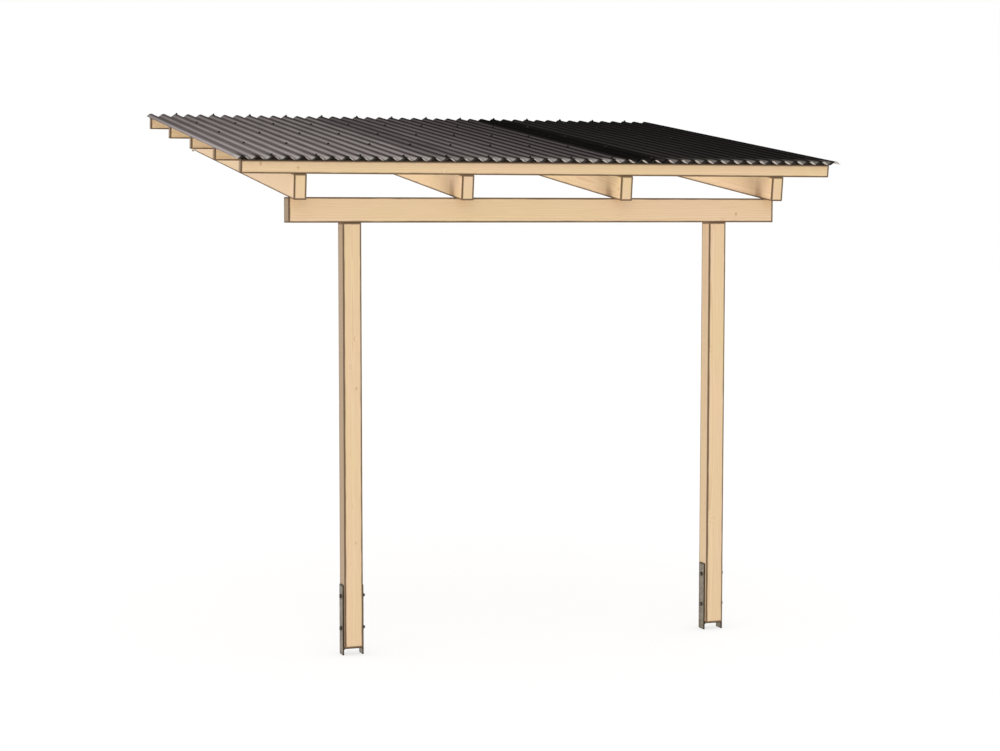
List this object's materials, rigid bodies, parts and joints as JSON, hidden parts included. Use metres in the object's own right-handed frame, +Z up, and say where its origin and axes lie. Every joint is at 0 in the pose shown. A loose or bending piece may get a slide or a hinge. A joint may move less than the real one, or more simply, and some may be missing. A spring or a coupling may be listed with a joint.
{
  "type": "lean-to patio cover",
  "caption": "Lean-to patio cover with planed timber posts in steel H shoes, a front beam, sloping rafters and battens, and corrugated plastic roof sheets.",
  "frame": {"origin": "centre of the wall plate's back face, which lies on the house wall", "axes": "+Y into the wall, -Y towards the open front, +X to the right seen from the front, +Z up"},
  "size_m": [3.06, 2.4942, 2.663],
  "materials": {
    "timber": "planed, untreated",
    "galvanised_steel": "hot-dip galvanised",
    "bolts": "zinc plated",
    "roof_sheet": "smoke grey, dulled by the weather"
  },
  "bodies": {
    "root": {"post_left": "timber", "post_right": "timber", "post_shoe_left": "galvanised_steel", "post_shoe_right": "galvanised_steel", "shoe_bolts_left": "bolts", "shoe_bolts_right": "bolts", "post_tie_left": "galvanised_steel", "post_tie_right": "galvanised_steel", "front_beam": "timber", "rafter_1": "timber", "rafter_2": "timber", "rafter_3": "timber", "rafter_4": "timber", "batten_1": "timber", "batten_2": "timber", "batten_3": "timber", "batten_4": "timber", "batten_5": "timber", "roof_sheet_left": "roof_sheet", "roof_sheet_middle": "roof_sheet", "roof_sheet_right": "roof_sheet", "wall_plate": "timber", "rafter_hanger_1": "galvanised_steel", "rafter_hanger_2": "galvanised_steel", "rafter_hanger_3": "galvanised_steel", "rafter_hanger_4": "galvanised_steel"}
  },
  "joints": []
}
